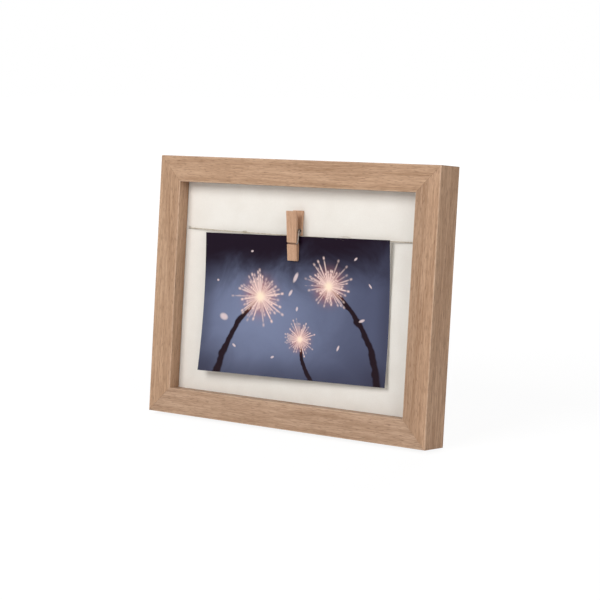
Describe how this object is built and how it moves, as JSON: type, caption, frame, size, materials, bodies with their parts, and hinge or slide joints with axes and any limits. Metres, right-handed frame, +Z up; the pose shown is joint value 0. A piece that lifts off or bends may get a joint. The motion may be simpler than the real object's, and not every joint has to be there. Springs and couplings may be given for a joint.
{
  "type": "peg photo frame",
  "caption": "Deep mitred wooden tabletop frame whose print hangs from a sprung peg on a twine line before a white board, with a fold-out strut and a wall hanger.",
  "frame": {"origin": "on the table under the middle of the standing frame's bounding box, strut open", "axes": "+X to the viewer's right along the rails, +Y from the front to the back, +Z up; the frame leans back by 6.5 degrees"},
  "size_m": [0.23, 0.0618, 0.1834],
  "materials": {
    "oak": "satin",
    "beech": "matte",
    "white_board": "matte",
    "packing_card": "matte",
    "hardboard": "matte",
    "twine": "matte",
    "steel": "satin",
    "brass": "satin",
    "print": "gloss"
  },
  "bodies": {
    "root": {"top_rail": "oak", "bottom_rail": "oak", "left_stile": "oak", "right_stile": "oak", "v_nail_bottom_left": "steel", "v_nail_bottom_right": "steel", "v_nail_top_left": "steel", "v_nail_top_right": "steel", "display_board": "white_board", "packing_card": "packing_card", "back_board": "hardboard", "sawtooth_hanger": "brass", "hanger_nail_left": "brass", "hanger_nail_right": "brass", "twine": "twine", "hinge_board_leaf": "steel", "hinge_pin": "steel", "board_rivet_left": "steel", "board_rivet_right": "steel"},
    "peg": {"peg_rear_leg": "beech", "peg_spring": "steel"},
    "peg_front": {"peg_front_leg": "beech"},
    "print": {"photo_print": "print"},
    "strut": {"strut": "hardboard", "hinge_strut_leaf": "steel", "strut_rivet_left": "steel", "strut_rivet_right": "steel"},
    "tab_bottom_left": {"tab_bottom_left": "steel"},
    "tab_bottom_right": {"tab_bottom_right": "steel"},
    "tab_top_left": {"tab_top_left": "steel"},
    "tab_top_right": {"tab_top_right": "steel"},
    "tab_left": {"tab_left": "steel"},
    "tab_right": {"tab_right": "steel"}
  },
  "joints": [
    {"name": "peg_slide", "type": "slide", "parent": "root", "child": "peg", "axis": [1, 0, 0], "range_m": [-0.016, 0.016]},
    {"name": "peg_squeeze", "type": "hinge", "parent": "peg", "child": "peg_front", "pos_m": [0, -0.00975, 0.13495], "axis": [-1, 0, 0], "range_deg": [0, 20], "stiffness_Nm_per_rad": 0.04, "springref_deg": -34.38, "deforming": ["peg_spring"]},
    {"name": "print_slide", "type": "slide", "parent": "peg", "child": "print", "axis": [0, -0.0454, -0.999], "range_m": [0, 0.012]},
    {"name": "strut_fold", "type": "hinge", "parent": "root", "child": "strut", "pos_m": [0, 0.008, 0.12901], "axis": [-1, 0, 0], "range_deg": [0, 16]},
    {"name": "tab_bottom_left_bend", "type": "hinge", "parent": "root", "child": "tab_bottom_left", "pos_m": [-0.0782, -0.00702, 0.01533], "axis": [-1, 0, 0], "range_deg": [0, 80]},
    {"name": "tab_bottom_right_bend", "type": "hinge", "parent": "root", "child": "tab_bottom_right", "pos_m": [0.0782, -0.00702, 0.01533], "axis": [-1, 0, 0], "range_deg": [0, 80]},
    {"name": "tab_top_left_bend", "type": "hinge", "parent": "root", "child": "tab_top_left", "pos_m": [-0.0782, 0.01011, 0.16565], "axis": [1, 0, 0], "range_deg": [0, 80]},
    {"name": "tab_top_right_bend", "type": "hinge", "parent": "root", "child": "tab_top_right", "pos_m": [0.0782, 0.01011, 0.16565], "axis": [1, 0, 0], "range_deg": [0, 80]},
    {"name": "tab_left_bend", "type": "hinge", "parent": "root", "child": "tab_left", "pos_m": [-0.09965, 0.00154, 0.09049], "axis": [0, 0.1132, 0.9936], "range_deg": [0, 80]},
    {"name": "tab_right_bend", "type": "hinge", "parent": "root", "child": "tab_right", "pos_m": [0.09965, 0.00154, 0.09049], "axis": [0, -0.1132, -0.9936], "range_deg": [0, 80]}
  ]
}
